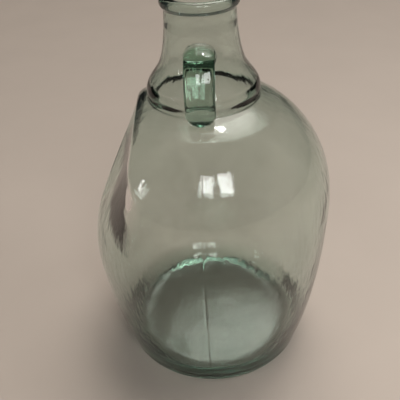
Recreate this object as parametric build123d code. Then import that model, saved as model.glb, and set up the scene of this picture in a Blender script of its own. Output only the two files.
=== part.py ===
from build123d import *
import os
from math import cos, radians, sin

# A four-litre mould-blown glass carboy with a strap handle on its neck. Millimetres, +Z up.
# The origin is on the ground under the axis of the mouth, and the handle is on the -Y side.
# The glass is one fused object. Its zones meet face to face at level cuts, and are one node each.

# Driving dimensions: the blown wall, as (radius, height) of its outer face, from heel to neck crease
WALL_OUTLINE = [(72.6, 4.0), (79.0, 31.0), (84.4, 65.0), (87.8, 112.0), (85.2, 151.0), (72.0, 180.0),
                (54.6, 198.0), (37.0, 208.0)]
WALL = 3.2                # glass thickness of the belly and shoulder
HEEL_RADIUS = 4.0         # rounding between the ground and the wall
FOOT_RADIUS = WALL_OUTLINE[0][0] - HEEL_RADIUS
FOOT_WIDTH = 8.0          # width of the ring that the carboy stands on
PUNT_RISE = 3.5           # how far the middle of the underside is pushed up
FLOOR = 6.5               # height of the inside floor next to the wall
FLOOR_RISE = 2.5          # how much higher the floor is in the middle
FLOOR_RADIUS = 62.0       # where the floor starts to turn up into the wall
CORNER = (69.4, 10.0)     # middle of the turn between floor and wall
BASE_TOP = 12.0           # level cut between base and belly
BELLY_TOP = 96.0          # level cut between belly and shoulder, just under the flattened side
SHOULDER_TOP = 160.0      # level cut between shoulder and upper shoulder

# Neck
CREASE_RADIUS, CREASE_HEIGHT = WALL_OUTLINE[-1]
NECK_OUTLINE = [(CREASE_RADIUS, CREASE_HEIGHT), (36.6, 214.0), (34.4, 220.0), (28.2, 229.5), (24.6, 241.0),
                (22.8, 254.0)]
NECK_TOP_RADIUS = 22.2
NECK_TOP = 266.5
BORE_RADIUS = 19.5        # straight bore that takes a stopper
BORE_LENGTH = 20.0        # from the mouth down
NECK_WALL = 3.4
CREASE_WALL = 4.0         # glass at the crease ring

# Lip: a rolled bead on top of the neck
LIP_RADIUS = 24.7
MOUTH_HEIGHT = 272.0
LIP_ROUND = 2.4
MOUTH_ROUND = 1.0

# Flattened side: a broad cylindrical scoop in the shoulder
SCOOP_RADIUS = 184.0      # radius of the outer face of the scoop
SCOOP_SIDE = 187.5        # direction that it faces, in degrees from +X
SCOOP_DISTANCE = 58.5     # from the axis to the deepest line
SCOOP_HEIGHT = 155.0      # height of the deepest line
SCOOP_TILT = 22.3         # how far it faces up, in degrees
SCOOP_ROLL = 17.3         # how far its length is turned from level, in degrees
SCOOP_ROUND = 9.0         # rounding of its rim

# Handle: a pressed strap that leaves the neck level and curves down over the crease
HANDLE_WIDTH = 18.4
HANDLE_OUTER = [(18.0, 249.6), (25.2, 248.9), (32.0, 245.2), (37.1, 240.5), (41.7, 233.7), (44.9, 225.7),
                (45.8, 218.7), (45.2, 212.0), (43.4, 204.4)]
HANDLE_INNER = [(34.0, 204.4), (35.0, 212.6), (37.5, 216.2), (38.8, 220.4), (38.2, 226.4), (36.0, 232.7),
                (33.2, 238.0), (30.6, 239.9), (28.2, 238.9), (26.4, 235.8), (24.0, 231.0)]
HANDLE_ROUND = 1.5
TONGUE_ROUND = 6.0        # rounded corners at the lower end of the strap


def save(solid, name):
    solid.label = name
    export_step(solid, f"parts/{name}.step")


def turned(*edges):
    """Solid of revolution about Z of the closed outline that the edges make in the XZ plane."""
    return revolve(Plane.XZ * make_face(edges), Axis.Z)


def inset(curve, depth, places):
    """Points beside a curve that runs upwards, a wall thickness to its left."""
    points = []
    for place in places:
        along = curve % place
        points.append(curve @ place + Vector(-along.Y, along.X) * depth)
    return points


def slab(low, high):
    """Everything between two heights."""
    size = 400.0
    return Pos(0, 0, (low + high) / 2) * Box(size, size, high - low)


def wall_curve():
    return Spline(*WALL_OUTLINE, tangents=[(0.22, 1.0), (-1.0, 0.5)])


def scoop_tool(radius):
    """Long cylinder whose side cuts the scoop; the inner face of the wall takes a larger radius."""
    side = radians(SCOOP_SIDE)
    tilt = radians(SCOOP_TILT)
    roll = radians(SCOOP_ROLL)
    outward = Vector(cos(side), sin(side), 0)
    facing = outward * cos(tilt) + Vector(0, 0, 1) * sin(tilt)
    level = Vector(-sin(side), cos(side), 0)
    climb = Vector(0, 0, 1) * cos(tilt) - outward * sin(tilt)
    length = level * cos(roll) - climb * sin(roll)
    centre = outward * SCOOP_DISTANCE + Vector(0, 0, SCOOP_HEIGHT) + facing * SCOOP_RADIUS
    return Plane(origin=centre, z_dir=length) * Cylinder(radius, 500.0)


def rounded_rim(solid, radius):
    """Rounds the edge where the scoop meets the blown shape."""
    scoop = solid.faces().filter_by(GeomType.CYLINDER).sort_by(SortBy.AREA)[-1]
    return fillet(scoop.edges(), radius)


def outer_body():
    """The blown shape from the ground to the crease, without its hollow."""
    curve = wall_curve()
    foot_inner = FOOT_RADIUS - FOOT_WIDTH
    underside = ThreePointArc((0, PUNT_RISE), (foot_inner * 0.6, PUNT_RISE * 0.64), (foot_inner, 0))
    foot = Line((foot_inner, 0), (FOOT_RADIUS, 0))
    heel = TangentArc((FOOT_RADIUS, 0), curve @ 0, tangent=(1, 0))
    crease = Line(curve @ 1, (0, CREASE_HEIGHT))
    axis = Line((0, CREASE_HEIGHT), (0, PUNT_RISE))
    shape = turned(underside, foot, heel, curve, crease, axis) - scoop_tool(SCOOP_RADIUS)
    return rounded_rim(shape, SCOOP_ROUND)


def hollow():
    """The space inside the body, up to the crease."""
    points = inset(wall_curve(), WALL, [0.07, 0.2, 0.35, 0.5, 0.65, 0.8, 0.93])
    top = (CREASE_RADIUS - CREASE_WALL, CREASE_HEIGHT)
    wall = Spline((FLOOR_RADIUS, FLOOR), CORNER, *points, top)
    floor = ThreePointArc((0, FLOOR + FLOOR_RISE), (FLOOR_RADIUS / 2, FLOOR + FLOOR_RISE * 0.72),
                          (FLOOR_RADIUS, FLOOR))
    mouth = Line(top, (0, CREASE_HEIGHT))
    axis = Line((0, CREASE_HEIGHT), (0, FLOOR + FLOOR_RISE))
    shape = turned(floor, wall, mouth, axis) - scoop_tool(SCOOP_RADIUS + WALL)
    return rounded_rim(shape, SCOOP_ROUND - WALL)


def neck_curve():
    return Spline(*NECK_OUTLINE, (NECK_TOP_RADIUS, NECK_TOP), tangents=[(0.05, 1.0), (-0.03, 1.0)])


def neck_block():
    """The neck without its hollow."""
    curve = neck_curve()
    rim = Line(curve @ 1, (0, NECK_TOP))
    axis = Line((0, NECK_TOP), (0, CREASE_HEIGHT))
    foot = Line((0, CREASE_HEIGHT), curve @ 0)
    return turned(curve, rim, axis, foot)


def neck():
    """Skirt, flare and straight neck, open right through, with the stopper bore at its top."""
    outer = neck_curve()
    bore_foot = MOUTH_HEIGHT - BORE_LENGTH
    points = inset(outer, NECK_WALL, [0.1, 0.2, 0.3, 0.42, 0.58, 0.66])
    start = (CREASE_RADIUS - CREASE_WALL, CREASE_HEIGHT)
    inner = Spline(start, *points, (BORE_RADIUS, bore_foot), tangents=[(0.0, 1.0), (0.0, 1.0)])
    bore = Line((BORE_RADIUS, bore_foot), (BORE_RADIUS, NECK_TOP))
    rim = Line((BORE_RADIUS, NECK_TOP), outer @ 1)
    foot = Line(start, outer @ 0)
    return turned(outer, rim, bore, inner, foot)


def lip():
    """Rolled bead with a rounded section, on top of the neck."""
    middle = ((BORE_RADIUS + LIP_RADIUS) / 2, (NECK_TOP + MOUTH_HEIGHT) / 2)
    section = Pos(*middle) * Rectangle(LIP_RADIUS - BORE_RADIUS, MOUTH_HEIGHT - NECK_TOP)
    outside = section.vertices().filter_by(lambda corner: corner.X > middle[0])
    section = fillet(outside, LIP_ROUND)
    mouth = section.vertices().filter_by(lambda corner: corner.X < middle[0] and corner.Y > middle[1])
    section = fillet(mouth, MOUTH_ROUND)
    return revolve(Plane.XZ * section, Axis.Z)


def handle(*solids):
    """Strap of even width with rounded edges and a rounded tongue, cut to sit on the solids."""
    outer = Spline(*HANDLE_OUTER)
    inner = Spline(*HANDLE_INNER)
    tip = Line(outer @ 1, inner @ 0)
    root = Line(inner @ 1, outer @ 0)
    profile = mirror(make_face([outer, tip, inner, root]), Plane.YZ)
    strap = extrude(Plane.YZ * profile, HANDLE_WIDTH / 2, both=True)
    long_edges = [edge for edge in strap.edges() if edge.length > 2 * HANDLE_WIDTH]
    strap = fillet(long_edges, HANDLE_ROUND)
    low, high = HANDLE_OUTER[-1][1], MOUTH_HEIGHT
    front = Pos(0, (low + high) / 2) * Rectangle(HANDLE_WIDTH, high - low)
    front = fillet(front.vertices().group_by(Axis.Y)[0], TONGUE_ROUND)
    strap &= extrude(Plane.XZ * front, MOUTH_HEIGHT)
    for solid in solids:
        strap -= solid
    return strap


os.makedirs("parts", exist_ok=True)
shape = outer_body()
glass = shape - hollow()
base = glass & slab(-1, BASE_TOP)
belly = glass & slab(BASE_TOP, BELLY_TOP)
shoulder = glass & slab(BELLY_TOP, SHOULDER_TOP)
upper_shoulder = glass & slab(SHOULDER_TOP, CREASE_HEIGHT + 1)
save(base, "base")
save(belly, "belly")
save(shoulder, "shoulder")
save(upper_shoulder, "upper_shoulder")
save(neck(), "neck")
save(lip(), "lip_ring")
save(handle(shape, neck_block()), "handle")
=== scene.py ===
"""Looks of the glass carboy: one closed glass mesh, a pale floor, soft light and the camera."""
import math

import bmesh
import bpy
import numpy as np
from mathutils import Matrix, Vector, noise


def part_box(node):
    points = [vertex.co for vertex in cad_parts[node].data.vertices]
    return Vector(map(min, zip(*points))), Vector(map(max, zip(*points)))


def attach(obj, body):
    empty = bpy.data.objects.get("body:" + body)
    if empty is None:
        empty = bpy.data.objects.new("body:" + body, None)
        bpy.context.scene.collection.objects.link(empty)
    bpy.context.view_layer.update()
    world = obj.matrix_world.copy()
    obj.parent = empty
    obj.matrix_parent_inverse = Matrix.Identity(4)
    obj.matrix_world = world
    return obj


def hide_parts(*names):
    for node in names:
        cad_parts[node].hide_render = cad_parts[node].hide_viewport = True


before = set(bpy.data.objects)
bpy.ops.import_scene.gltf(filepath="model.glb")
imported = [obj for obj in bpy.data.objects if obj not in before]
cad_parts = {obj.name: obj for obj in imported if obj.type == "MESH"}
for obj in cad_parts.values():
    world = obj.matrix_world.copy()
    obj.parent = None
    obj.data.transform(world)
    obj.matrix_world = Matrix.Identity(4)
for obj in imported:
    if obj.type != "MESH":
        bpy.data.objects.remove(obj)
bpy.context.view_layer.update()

# ---------------------------------------------------------------- sizes, in metres
MM = 0.001
BELLY_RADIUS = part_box("shoulder")[1][1]          # the widest level
CREASE_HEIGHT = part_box("neck")[0][2]
CREASE_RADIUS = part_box("neck")[1][0]
NECK_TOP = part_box("neck")[1][2]
MOUTH_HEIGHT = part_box("lip_ring")[1][2]
LIP_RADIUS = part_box("lip_ring")[1][0]
HEEL_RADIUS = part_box("base")[1][0]
HANDLE_HALF_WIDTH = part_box("handle")[1][0]
HANDLE_LOW, HANDLE_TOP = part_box("handle")[0][2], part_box("handle")[1][2]
HANDLE_REACH = -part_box("handle")[0][1]           # from the axis to its outermost point

# The outside of the wall, as shares of the belly radius and of the crease height
WALL_SHAPE = ((0.900, 0.149), (0.961, 0.312), (1.0, 0.538), (0.970, 0.726), (0.820, 0.865), (0.622, 0.952))
HEEL_ROUND = 4 * MM
FOOT_WIDTH = 8 * MM                              # the ring that it stands on
PUNT_RISE = 3.5 * MM                             # how far the middle of the underside is pushed up

# The outside of the neck, as shares of the crease radius and of the way up to its top
NECK_SHAPE = ((1.006, 0.10), (0.940, 0.205), (0.762, 0.368), (0.665, 0.564), (0.616, 0.786))
NECK_TOP_RADIUS = 22.2 * MM
BEAD_FOOT = NECK_TOP - 1.3 * MM
# The rolled lip: millimetres inside its widest radius, and share of its height
BEAD_SHAPE = ((0.55, 0.17), (0.0, 0.48), (0.2, 0.75), (1.1, 0.94), (2.5, 1.0))
MOUTH_ROUND = 1.3 * MM

# The inside
WALL = 2.1 * MM
CREASE_THICKER = 1.0 * MM                        # more glass in the wall towards the crease
THICK_HEEL = 1.2 * MM                            # and low in the wall
THICK_HEEL_HEIGHT = 75 * MM
NECK_WALL = 2.4 * MM
BORE_RADIUS = 19.5 * MM
BORE_FOOT = MOUTH_HEIGHT - 14 * MM
FLOOR = 3.6 * MM                                 # inside floor next to the wall
FLOOR_RISE = 2.5 * MM
# The thick ring behind the crease: share of the crease radius, and millimetres above the crease
THICK_RING = ((0.908, 5.6), (0.902, 3.6), (0.868, 0.0), (0.878, -2.0), (0.955, -3.4))
RING_TOP = 9 * MM
RING_WIDTH = 13 * MM                             # from the crease outwards
RING_TALL = 3.5 * MM
BACK_THIN = 1.3 * MM                             # the ring is weaker at the back

# The flattened side: a broad scoop in the shoulder, cut by a cylinder
SCOOP_RADIUS = 2.09 * BELLY_RADIUS
SCOOP_DISTANCE = 0.665 * BELLY_RADIUS            # from the axis to its deepest point
SCOOP_HEIGHT = 0.745 * CREASE_HEIGHT
SCOOP_SIDE = math.radians(187.5)                 # the way it faces, from +X
SCOOP_TILT = math.radians(22.3)                  # how far it faces up
SCOOP_ROLL = math.radians(17.3)                  # how far its length is turned from level
SCOOP_BLEND = 3.0 * MM                           # rounding of its rim near the neck
SOFT_BLEND = 26 * MM                             # low on its front side
BACK_BLEND = 4 * MM                              # and low at its back
INNER_BLEND = 5 * MM                             # more rounding on the inside, near the neck
SCOOP_WALL = WALL + 0.8 * MM
# The inner face leans, so that the glass gets thicker backwards and downwards. Known fault: at the front
# rim, 207 to 234 degrees round from +X and 156 to 192 mm up, the two faces cross by up to 1.4 mm
SCOOP_WEDGE = math.radians(5.0)
# Where these change over the height, as shares of the crease height: start, and over how much
WEDGE_START, WEDGE_RUN = 0.60, 0.12
SHARP_START, SHARP_RUN = 0.79, 0.07
SHALLOW_TOP, SHALLOW_RUN = 0.80, 0.25
SHALLOW_DEPTH = 8 * MM                           # the scoop is shallower low on its front side
FRONT_RUN = 0.5                                  # radians over which its back turns into its front

# Unevenness of the blown glass, and the two seams of its mould
OUTER_WOBBLE, OUTER_SEED = 0.18 * MM, 3.0
INNER_WOBBLE, INNER_SEED = 0.45 * MM, 11.0
SEAM_HALF_WIDTH = 0.55 * MM
SEAM_HEIGHT = 0.24 * MM
SEAM_ANGLES = (0.5 * math.pi, 1.5 * math.pi)
COLUMNS = 264

# The strap's faces from its root to its end: share of its reach, and millimetres below its top
STRAP_OUTER = ((0.474, 0.1), (0.56, 1.0), (0.70, 4.6), (0.81, 9.2), (0.91, 16), (0.98, 24), (1.0, 31),
               (0.985, 37))
STRAP_INNER = ((0.553, 17.3), (0.586, 13.6), (0.617, 10.8), (0.668, 9.8), (0.722, 11.6), (0.786, 17),
               (0.836, 23.5), (0.848, 29.5), (0.822, 33.6), (0.770, 36.4))
# Its lower end: share of its reach, and share of its height
STRAP_OUTER_END = (0.945, 0.01)
STRAP_INNER_END = (0.765, 0.02)
STRAP_LENGTH = 60 * MM
STRAP_STEPS = 72
STRAP_AROUND = 40
ROOT_WIDER = 0.9 * MM                            # how much it widens at its root
ROOT_RUN = 6 * MM
TONGUE_ROUND = 6.5 * MM                          # rounded corners at its lower end
FLUTES = 4                                       # shallow ridges along the strap
FLUTE_DEPTH = 0.045
FLUTE_START = 12                                 # steps until they have their full depth

# The strap's painted shade goes where it is in front of a plane that leans against the neck: where -y +
# PLANE_LEAN * z is more than this
PLANE_LEAN = 0.364
PLANE_START, PLANE_END = 115.5 * MM, 117.0 * MM
CAP_FOOT, CAP_TOP = 233 * MM, 240 * MM           # heights over which its painted shade deepens
PAINTED_SHADE_BELOW_CAP = 0.35                                 # share of the painted shade below the cap

# Colours
CLEAR_GLASS = (0.985, 1.0, 0.985)
HAZY_GLASS = (0.925, 0.945, 0.925)
# Painted shade: the strap's darker green stands in for the dark of long paths through its thick glass, not a
# colour of its own
STRAP_PAINTED_SHADE = (0.36, 0.54, 0.39)
THROUGH_GLASS = (0.13, 0.46, 0.33)               # what a long way through the glass leaves of white
GLASS_DENSITY = 62.0                             # per metre
FLOOR_COLOUR = (0.475, 0.405, 0.35)
DARK_ROOM = (0.035, 0.037, 0.035)
GLOW = (4.9, 4.65, 4.35)

FLOOR_SIZE = 8.0
FLOOR_GAP = 0.4 * MM                             # under the glass, so that their faces don't coincide


# ---------------------------------------------------------------- curves
def smooth_line(points, spacing):
    """Points evenly spread along a natural cubic spline through the given ones."""
    knots = np.array(points, float)
    chords = np.sqrt(np.linalg.norm(np.diff(knots, axis=0), axis=1))
    place = np.concatenate([[0.0], np.cumsum(chords)])
    count = len(knots)
    matrix = np.eye(count)
    target = np.zeros_like(knots)
    for i in range(1, count - 1):
        before, after = place[i] - place[i - 1], place[i + 1] - place[i]
        matrix[i, i - 1:i + 2] = before, 2 * (before + after), after
        target[i] = 6 * ((knots[i + 1] - knots[i]) / after - (knots[i] - knots[i - 1]) / before)
    bend = np.linalg.solve(matrix, target)

    def at(where):
        i = np.clip(np.searchsorted(place, where) - 1, 0, count - 2)
        step = (place[i + 1] - place[i])[:, None]
        low, high = (place[i + 1] - where)[:, None], (where - place[i])[:, None]
        cubic = (bend[i] * low**3 + bend[i + 1] * high**3) / (6 * step)
        start, end = knots[i] / step - bend[i] * step / 6, knots[i + 1] / step - bend[i + 1] * step / 6
        return cubic + (start * low + end * high)

    fine = at(np.linspace(0, place[-1], 800))
    run = run_along(fine)
    steps = max(2, round(run[-1] / spacing))
    return points_at(fine, np.linspace(0, 1, steps + 1))


def run_along(line):
    """How far along the line each of its points is."""
    return np.concatenate([[0.0], np.cumsum(np.linalg.norm(np.diff(line, axis=0), axis=1))])


def points_at(line, shares):
    """Points at shares of the line's length."""
    run = run_along(line)
    place = shares * run[-1]
    return np.stack([np.interp(place, run, line[:, 0]), np.interp(place, run, line[:, 1])], axis=-1)


def arc(centre, radius, start, end, spacing):
    """Points along a round corner; angles in degrees from +radius towards +height."""
    steps = max(3, round(abs(math.radians(end - start)) * radius / spacing))
    angles = np.linspace(math.radians(start), math.radians(end), steps + 1)
    return np.stack([centre[0] + radius * np.cos(angles), centre[1] + radius * np.sin(angles)], axis=-1)


def joined(*runs):
    """Runs of points as one outline, without the points that two runs share."""
    points = [runs[0]]
    for run in runs[1:]:
        gap = np.linalg.norm(run[0] - points[-1][-1])
        points.append(run[1:] if gap < 0.05 * MM else run)
    return np.concatenate(points)


def inset(line, depth):
    """The line moved to its left by a depth, or by a depth for each point."""
    along = np.gradient(line, axis=0)
    along /= np.linalg.norm(along, axis=1)[:, None]
    side = np.stack([-along[:, 1], along[:, 0]], axis=-1)
    return line + side * np.reshape(depth, (-1, 1))


# ---------------------------------------------------------------- the blown shape
def wall_knots():
    knots = [(HEEL_RADIUS * 0.975, HEEL_ROUND)]
    knots += [(r * BELLY_RADIUS, z * CREASE_HEIGHT) for r, z in WALL_SHAPE]
    return knots + [(CREASE_RADIUS, CREASE_HEIGHT)]


def neck_knots():
    rise = NECK_TOP - CREASE_HEIGHT
    knots = [(CREASE_RADIUS * 0.997, CREASE_HEIGHT + 0.4 * MM)]
    knots += [(r * CREASE_RADIUS, CREASE_HEIGHT + z * rise) for r, z in NECK_SHAPE]
    return knots + [(NECK_TOP_RADIUS, NECK_TOP)]


def outer_outline():
    """From the middle of the underside round the foot, up the wall and the neck to the mouth."""
    foot_r = wall_knots()[0][0] - HEEL_ROUND
    punt = smooth_line([(0, PUNT_RISE), (0.5 * foot_r, 0.75 * PUNT_RISE), (foot_r - FOOT_WIDTH, 0.5 * MM),
                        (foot_r - 0.7 * FOOT_WIDTH, 0)], 2.5 * MM)
    heel = arc((foot_r, HEEL_ROUND), HEEL_ROUND, -90, 0, 0.8 * MM)
    wall = smooth_line(wall_knots(), 1.5 * MM)
    neck = smooth_line(neck_knots(), 1.2 * MM)
    neck = neck[neck[:, 1] < BEAD_FOOT - 0.4 * MM]
    bead_tall = MOUTH_HEIGHT - BEAD_FOOT
    bead = [(NECK_TOP_RADIUS + 0.4 * MM, BEAD_FOOT)]
    bead += [(LIP_RADIUS - less * MM, BEAD_FOOT + share * bead_tall) for less, share in BEAD_SHAPE]
    bead = smooth_line(bead + [(BORE_RADIUS + MOUTH_ROUND, MOUTH_HEIGHT)], 0.35 * MM)
    mouth = arc((BORE_RADIUS + MOUTH_ROUND, MOUTH_HEIGHT - MOUTH_ROUND), MOUTH_ROUND, 90, 180, 0.3 * MM)
    return joined(punt, heel, wall, neck, bead, mouth)


def inner_outline():
    """From the mouth down the bore and the inside of the wall to the middle of the floor."""
    wall = smooth_line(wall_knots(), 1.7 * MM)
    near_crease = np.clip((wall[:, 1] / CREASE_HEIGHT - 0.8) / 0.2, 0, 1)
    near_heel = np.clip(1 - wall[:, 1] / THICK_HEEL_HEIGHT, 0, 1)
    wall = inset(wall, WALL + CREASE_THICKER * near_crease + THICK_HEEL * near_heel**2)
    wall = wall[(wall[:, 1] > 18 * MM) & (wall[:, 0] > CREASE_RADIUS + RING_WIDTH)][::-1]
    neck = inset(smooth_line(neck_knots(), 1.2 * MM), NECK_WALL)
    neck = neck[(neck[:, 1] < BORE_FOOT - 6 * MM) & (neck[:, 1] > CREASE_HEIGHT + RING_TOP)][::-1]
    behind_ring = [(CREASE_RADIUS * share, CREASE_HEIGHT + rise * MM) for share, rise in THICK_RING]
    ring = smooth_line([neck[-2], neck[-1], *behind_ring, wall[0], wall[1]], 1.0 * MM)
    bore = smooth_line([(BORE_RADIUS, MOUTH_HEIGHT - MOUTH_ROUND), (BORE_RADIUS, BORE_FOOT)], 1.5 * MM)
    throat = smooth_line([bore[-2], bore[-1], neck[0], neck[1]], 1.2 * MM)
    floor_line = [(0.972 * HEEL_RADIUS - 4.2 * MM, 12 * MM), (0.868 * HEEL_RADIUS, 6.9 * MM),
                  (0.80 * HEEL_RADIUS, FLOOR + 0.3 * MM), (0.6 * HEEL_RADIUS, FLOOR + 0.3 * FLOOR_RISE),
                  (0.3 * HEEL_RADIUS, FLOOR + 0.8 * FLOOR_RISE), (0, FLOOR + FLOOR_RISE)]
    corner = smooth_line([wall[-2], wall[-1], *floor_line], 1.8 * MM)
    # The throat, the ring and the corner start and end along their neighbours, and lose those points
    return joined(bore, throat[2:-2], neck, ring[2:-2], wall, corner[2:])


def scoop_reach(angle, height, radius, wedge):
    """How far from the axis the scoop's face is, along level rays; very far where the ray misses it."""
    deepest = Vector((math.cos(SCOOP_SIDE), math.sin(SCOOP_SIDE), 0)) * SCOOP_DISTANCE
    way, tilt = SCOOP_SIDE - wedge, SCOOP_TILT - 0.5 * wedge
    side = Vector((math.cos(way), math.sin(way), 0))
    up = Vector((0, 0, 1))
    facing = side * math.cos(tilt) + up * math.sin(tilt)
    level = Vector((-math.sin(way), math.cos(way), 0))
    climb = up * math.cos(tilt) - side * math.sin(tilt)
    length = np.array(level * math.cos(SCOOP_ROLL) - climb * math.sin(SCOOP_ROLL))
    centre = np.array(deepest + up * SCOOP_HEIGHT + facing * SCOOP_RADIUS)
    ray = np.stack([np.cos(angle), np.sin(angle), np.zeros_like(angle)], axis=-1)
    start = np.stack([np.zeros_like(height), np.zeros_like(height), height], axis=-1) - centre
    ray_flat = ray - (ray @ length)[..., None] * length
    start_flat = start - (start @ length)[..., None] * length
    a = (ray_flat**2).sum(-1)
    b = (ray_flat * start_flat).sum(-1)
    c = (start_flat**2).sum(-1) - radius**2
    inside = b * b - a * c
    reach = (-b - np.sqrt(np.maximum(inside, 0))) / a
    return np.where((inside > 0) & (reach > 0), reach, 1.0)


def smaller(one, other, blend):
    """The smaller of two lengths, rounded where they are nearly equal."""
    share = np.clip(0.5 + 0.5 * (other - one) / blend, 0, 1)
    return other * (1 - share) + one * share - blend * share * (1 - share)


def waves(angle, height, seed):
    """Slow unevenness of blown glass, from -1 to 1."""
    round_scale, height_scale = 2.2, 14.0
    found = np.empty(angle.shape)
    for index in np.ndindex(angle.shape):
        x, y = math.cos(angle[index]) * round_scale, math.sin(angle[index]) * round_scale
        found[index] = noise.noise(Vector((x, y, height[index] * height_scale + seed)))
    return found


def columns():
    """Angles round the axis, closer together beside the two seams of the mould."""
    even = list(np.arange(COLUMNS) * 2 * math.pi / COLUMNS)
    extra = []
    for seam in SEAM_ANGLES:
        for step in (-1.6, -0.8, -0.4, 0.4, 0.8, 1.6):
            extra.append(seam + step * SEAM_HALF_WIDTH / BELLY_RADIUS)
    return np.array(sorted(even + extra))


def turned_surface(line, scoop_radius, wedge, extra_blend, wobble, seed):
    """The outline turned round the axis, with the scoop and the waves: angles, radii and heights."""
    angle, radius = np.meshgrid(columns(), line[:, 0])
    height = np.repeat(line[:, 1][:, None], angle.shape[1], axis=1)
    level = height / CREASE_HEIGHT
    body = (height > 0.35 * CREASE_HEIGHT) & (height < CREASE_HEIGHT - 1 * MM)
    even = scoop_reach(angle, height, scoop_radius, 0)
    wedged = scoop_reach(angle, height, scoop_radius, wedge)
    reach = even + (wedged - even) * np.clip((level - WEDGE_START) / WEDGE_RUN, 0, 1)
    front = np.clip((angle - SCOOP_SIDE) / FRONT_RUN + 0.5, 0, 1)
    reach = reach + SHALLOW_DEPTH * front * np.clip((SHALLOW_TOP - level) / SHALLOW_RUN, 0, 1)
    sharp = np.clip((level - SHARP_START) / SHARP_RUN, 0, 1)
    low_blend = BACK_BLEND + (SOFT_BLEND - BACK_BLEND) * front
    blend = low_blend + (SCOOP_BLEND - low_blend) * sharp + extra_blend * sharp
    radius = np.where(body, smaller(radius, reach, blend), radius)
    amount = wobble * np.clip(height / (20 * MM), 0, 1) * np.clip((NECK_TOP - height) / (30 * MM), 0, 1)
    radius = radius + amount * waves(angle, height, seed) * np.clip(radius / CREASE_RADIUS, 0.3, 1)
    return angle, radius, height


def with_seams(angle, radius, height):
    """The radii with a fine ridge up each side where the mould's halves met."""
    for seam in SEAM_ANGLES:
        away = np.abs(np.angle(np.exp(1j * (angle - seam)))) * radius
        ridge = SEAM_HEIGHT * np.exp(-(away / SEAM_HALF_WIDTH)**2)
        radius = radius + ridge * (height > 3 * MM) * (height < NECK_TOP - 2 * MM)
    return radius


def with_thin_back(angle, radius, height):
    """The inner radii with less glass in the ring at its back."""
    near_ring = np.exp(-((height - CREASE_HEIGHT) / RING_TALL)**2) * (radius < CREASE_RADIUS)
    return radius + BACK_THIN * np.clip(np.sin(angle), 0, 1) * near_ring


def ring_points(angle, radius, height):
    return np.stack([radius * np.cos(angle), radius * np.sin(angle), height], axis=-1)


def blown_mesh():
    """Outer and inner surfaces joined at the mouth, as one closed mesh."""
    angle, radius, height = turned_surface(outer_outline()[1:], SCOOP_RADIUS, 0, 0, OUTER_WOBBLE, OUTER_SEED)
    outer = ring_points(angle, with_seams(angle, radius, height), height)
    angle, radius, height = turned_surface(inner_outline()[:-1], SCOOP_RADIUS + SCOOP_WALL, SCOOP_WEDGE,
                                           INNER_BLEND, INNER_WOBBLE, INNER_SEED)
    inner = ring_points(angle, with_thin_back(angle, radius, height), height)
    mesh = bmesh.new()
    grid = [[mesh.verts.new(point) for point in ring] for ring in np.concatenate([outer, inner])]
    skin(mesh, grid)
    count = len(grid[0])
    for ring, middle_height, order in ((grid[0], PUNT_RISE, -1), (grid[-1], FLOOR + FLOOR_RISE, 1)):
        middle = mesh.verts.new((0, 0, middle_height))
        for i in range(count):
            pair = (ring[i], ring[(i + 1) % count])[::order]
            mesh.faces.new((middle, *pair))
    return mesh


def skin(mesh, rings):
    """Faces between each ring of vertices and the next."""
    for low, high in zip(rings, rings[1:]):
        for i in range(len(low)):
            j = (i + 1) % len(low)
            mesh.faces.new((low[i], low[j], high[j], high[i]))


def shade_smooth(data):
    for face in data.polygons:
        face.use_smooth = True


def mesh_object(name, mesh):
    data = bpy.data.meshes.new(name)
    bmesh.ops.recalc_face_normals(mesh, faces=mesh.faces)
    mesh.to_mesh(data)
    mesh.free()
    shade_smooth(data)
    made = bpy.data.objects.new(name, data)
    bpy.context.scene.collection.objects.link(made)
    return made


# ---------------------------------------------------------------- handle
def strap_line(points, end):
    """One face of the strap, from its root to its lower end, in as many points as it has steps."""
    line = [(share * HANDLE_REACH, HANDLE_TOP - drop * MM) for share, drop in points]
    line.append((end[0] * HANDLE_REACH, HANDLE_LOW + end[1] * (HANDLE_TOP - HANDLE_LOW)))
    return points_at(smooth_line(line, 0.8 * MM), np.linspace(0, 1, STRAP_STEPS + 1))


def strap_mesh():
    """Strap of rounded section from inside the neck's wall, over the crease, into the shoulder's wall."""
    outer = strap_line(STRAP_OUTER, STRAP_OUTER_END)
    inner = strap_line(STRAP_INNER, STRAP_INNER_END)
    share = np.linspace(0, 1, STRAP_STEPS + 1)
    mesh = bmesh.new()
    rings = []
    for i in range(STRAP_STEPS + 1):
        left = (1 - share[i]) * STRAP_LENGTH
        half_width = HANDLE_HALF_WIDTH + ROOT_WIDER * math.exp(-(share[i] * STRAP_LENGTH / ROOT_RUN)**2)
        if left < TONGUE_ROUND:
            half_width -= TONGUE_ROUND - math.sqrt(max(TONGUE_ROUND**2 - (TONGUE_ROUND - left)**2, 0))
        middle, half = (outer[i] + inner[i]) / 2, (outer[i] - inner[i]) / 2
        ring = []
        for j in range(STRAP_AROUND):
            angle = 2 * math.pi * j / STRAP_AROUND
            across, through = math.cos(angle), math.sin(angle)
            flute = 1 + math.cos(FLUTES * math.pi * across)
            point = middle + half * through * (1 - FLUTE_DEPTH * flute * min(i / FLUTE_START, 1))
            ring.append(mesh.verts.new((across * half_width, -point[0], point[1])))
        rings.append(ring)
    skin(mesh, rings)
    mesh.faces.new(rings[0])
    mesh.faces.new(rings[-1])
    return mesh


def fused(body, strap):
    """The strap and the blown shape as one closed mesh."""
    union = body.modifiers.new("fuse", "BOOLEAN")
    union.operation = "UNION"
    union.solver = "EXACT"
    union.object = strap
    shown = bpy.context.evaluated_depsgraph_get()
    data = bpy.data.meshes.new_from_object(body.evaluated_get(shown))
    body.modifiers.clear()
    old = body.data
    body.data = data
    bpy.data.meshes.remove(old)
    bpy.data.objects.remove(strap)
    shade_smooth(data)
    return body


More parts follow.
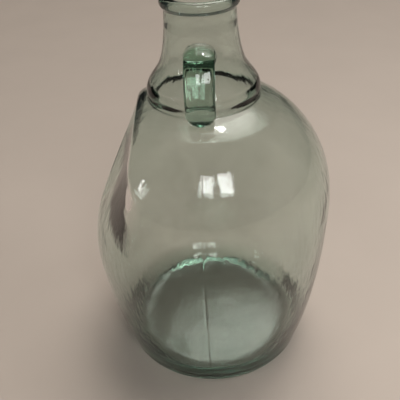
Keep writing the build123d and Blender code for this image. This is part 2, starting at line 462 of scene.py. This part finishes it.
# ---------------------------------------------------------------- materials
def new_material(name):
    material = bpy.data.materials.new(name)
    material.use_nodes = True
    tree = material.node_tree
    place = tree.nodes.new("ShaderNodeTexCoord").outputs["Object"]
    return material, tree, tree.nodes["Principled BSDF"], place


def noise_value(tree, vector, scale, detail, distortion=0.0):
    texture = tree.nodes.new("ShaderNodeTexNoise")
    texture.inputs["Scale"].default_value = scale
    texture.inputs["Detail"].default_value = detail
    texture.inputs["Distortion"].default_value = distortion
    tree.links.new(vector, texture.inputs["Vector"])
    return texture.outputs["Fac"]


def ramp(tree, value, low, high, start=0.0, end=1.0):
    """From start, where the value is low, to end, where it is high."""
    node = tree.nodes.new("ShaderNodeMapRange")
    for name, number in (("From Min", low), ("From Max", high), ("To Min", start), ("To Max", end)):
        node.inputs[name].default_value = number
    tree.links.new(value, node.inputs["Value"])
    return node.outputs["Result"]


def dot_product(tree, vector, way):
    node = tree.nodes.new("ShaderNodeVectorMath")
    node.operation = "DOT_PRODUCT"
    node.inputs[1].default_value = way
    tree.links.new(vector, node.inputs[0])
    return node.outputs["Value"]


def product(tree, one, other):
    node = tree.nodes.new("ShaderNodeMath")
    node.operation = "MULTIPLY"
    tree.links.new(one, node.inputs[0])
    tree.links.new(other, node.inputs[1])
    return node.outputs["Value"]


def mixed(tree, share, one, other):
    """Mix of two colours; the first may be another node's result."""
    node = tree.nodes.new("ShaderNodeMix")
    node.data_type = "RGBA"
    if isinstance(one, tuple):
        node.inputs[6].default_value = (*one, 1)
    else:
        tree.links.new(one, node.inputs[6])
    node.inputs[7].default_value = (*other, 1)
    tree.links.new(share, node.inputs[0])
    return node.outputs[2]


def bumped(tree, height, strength, distance, normal=None):
    node = tree.nodes.new("ShaderNodeBump")
    node.inputs["Strength"].default_value = strength
    node.inputs["Distance"].default_value = distance
    tree.links.new(height, node.inputs["Height"])
    if normal:
        tree.links.new(normal, node.inputs["Normal"])
    return node.outputs["Normal"]


def painted_strap_shade(tree, place):
    """How deep the strap's painted shade is at a place: 0 off the strap, deepest on the cap at its top; it
    stands in for the dark of long paths through its thick glass.
    """
    where = tree.nodes.new("ShaderNodeSeparateXYZ")
    tree.links.new(place, where.inputs["Vector"])
    height = where.outputs["Z"]
    front = ramp(tree, dot_product(tree, place, (0, -1, PLANE_LEAN)), PLANE_START, PLANE_END)
    above = ramp(tree, height, HANDLE_LOW - 1.5 * MM, HANDLE_LOW)
    below = ramp(tree, height, HANDLE_TOP + 0.4 * MM, HANDLE_TOP - 0.4 * MM)
    cap = ramp(tree, height, CAP_FOOT, CAP_TOP, start=PAINTED_SHADE_BELOW_CAP)
    return product(tree, product(tree, front, product(tree, above, below)), cap)


def green_glass():
    material, tree, shader, place = new_material("green_glass")
    shader.inputs["Transmission Weight"].default_value = 1.0
    shader.inputs["IOR"].default_value = 1.5
    film = noise_value(tree, place, scale=38.0, detail=6.0)
    tree.links.new(ramp(tree, film, 0.52, 0.85, end=0.16), shader.inputs["Roughness"])
    haze = ramp(tree, noise_value(tree, place, scale=26.0, detail=3.0, distortion=0.6), 0.40, 0.62)
    blown = mixed(tree, haze, CLEAR_GLASS, HAZY_GLASS)
    # Painted shade: the strap is mixed towards a darker green, most on its top cap
    colour = mixed(tree, painted_strap_shade(tree, place), blown, STRAP_PAINTED_SHADE)
    tree.links.new(colour, shader.inputs["Base Color"])
    ripples = noise_value(tree, place, scale=60.0, detail=2.0)
    rippled = bumped(tree, ripples, strength=0.12, distance=2 * MM)
    stretched = tree.nodes.new("ShaderNodeMapping")
    stretched.inputs["Scale"].default_value = (1.0, 1.0, 0.3)
    tree.links.new(place, stretched.inputs["Vector"])
    streaks = noise_value(tree, stretched.outputs["Vector"], scale=300.0, detail=3.0)
    streaked = bumped(tree, streaks, strength=0.09, distance=1 * MM, normal=rippled)
    tree.links.new(streaked, shader.inputs["Normal"])
    tint = tree.nodes.new("ShaderNodeVolumeAbsorption")
    tint.inputs["Color"].default_value = (*THROUGH_GLASS, 1)
    tint.inputs["Density"].default_value = GLASS_DENSITY
    output = next(node for node in tree.nodes if node.type == "OUTPUT_MATERIAL")
    tree.links.new(tint.outputs["Volume"], output.inputs["Volume"])
    return material


def floor_material():
    material, tree, shader, place = new_material("pale_floor")
    shader.inputs["Roughness"].default_value = 0.9
    darker, lighter = (tuple(tone * c for c in FLOOR_COLOUR) for tone in (0.95, 1.05))
    grain = noise_value(tree, place, scale=9.0, detail=5.0)
    tree.links.new(mixed(tree, grain, darker, lighter), shader.inputs["Base Color"])
    return material


# ---------------------------------------------------------------- build
body = mesh_object("carboy_glass", blown_mesh())
body = fused(body, mesh_object("strap", strap_mesh()))
body.data.materials.clear()
body.data.materials.append(green_glass())
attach(body, "root")
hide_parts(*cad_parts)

bpy.ops.mesh.primitive_plane_add(size=FLOOR_SIZE, location=(0, 0, -FLOOR_GAP))
floor = bpy.context.object
floor.name = "floor"
floor.data.materials.append(floor_material())


# ---------------------------------------------------------------- light
def way_to(azimuth, elevation):
    """Direction in degrees: azimuth from +X, elevation above the floor."""
    around, climb = math.radians(azimuth), math.radians(elevation)
    return Vector((math.cos(around) * math.cos(climb), math.sin(around) * math.cos(climb), math.sin(climb)))


def soft_light(name, azimuth, elevation, distance, width, height, watts):
    """Area light that faces the carboy."""
    away = way_to(azimuth, elevation)
    data = bpy.data.lights.new(name, "AREA")
    data.shape = "RECTANGLE"
    data.size, data.size_y = width, height
    data.energy = watts
    light = bpy.data.objects.new(name, data)
    light.location = Vector((0, 0, 0.5 * MOUTH_HEIGHT)) + away * distance
    light.rotation_euler = away.to_track_quat("Z", "Y").to_euler()
    bpy.context.scene.collection.objects.link(light)
    return light


soft_light("window_left", -88, 38, 1.2, 0.24, 0.34, 2.4)
soft_light("window_right", -67, 38, 1.2, 0.24, 0.34, 2.6)
soft_light("side_window", -153, 21, 1.2, 0.04, 0.20, 0.35)
tube = soft_light("tube", 34, 80, 1.5, 0.38, 0.03, 1.9)
fill = soft_light("fill", 5, 26, 0.8, 0.4, 0.4, 2.0)
far = soft_light("far", 58, 38, 1.25, 1.0, 0.5, 0.9)
for light in (tube, far):                        # these two face straight down
    light.rotation_euler = (0, 0, 0)
for light in (fill, far):                        # and these two only light the floor
    light.visible_glossy = False
    light.visible_transmission = False

# A dark room, which darkens the edges of the glass, with one broad glow high behind the carboy
world = bpy.data.worlds.new("room")
bpy.context.scene.world = world
world.use_nodes = True
sky = world.node_tree
direction = sky.nodes.new("ShaderNodeTexCoord").outputs["Generated"]
glow = ramp(sky, dot_product(sky, direction, way_to(azimuth=70, elevation=64)), 0.88, 0.985)
glow.node.interpolation_type = "SMOOTHSTEP"
colour = mixed(sky, glow, DARK_ROOM, GLOW)
sky.links.new(colour, sky.nodes["Background"].inputs["Color"])

# ---------------------------------------------------------------- camera
CAMERA_TURN = math.radians(3.6)                  # it stands this far right of the handle
CAMERA_BACK = 0.3368
CAMERA_UP = 0.3616
CAMERA_PITCH = math.radians(35.57)
CAMERA_YAW = math.radians(-1.14)
CAMERA_ROLL = math.radians(-3.39)
CAMERA_LENS = 49.5

lens = bpy.data.cameras.new("camera")
lens.lens = CAMERA_LENS
lens.sensor_width = 36
lens.clip_start = 0.01
camera = bpy.data.objects.new("camera", lens)
bpy.context.scene.collection.objects.link(camera)
stand = Matrix.Rotation(CAMERA_TURN, 4, "Z") @ Matrix.Translation((0, -CAMERA_BACK, CAMERA_UP))
aim = Matrix.Rotation(-CAMERA_YAW, 4, "Z") @ Matrix.Rotation(math.pi / 2 - CAMERA_PITCH, 4, "X")
camera.matrix_world = stand @ aim @ Matrix.Rotation(CAMERA_ROLL, 4, "Z")
bpy.context.scene.camera = camera
bpy.context.scene.view_settings.view_transform = "Standard"
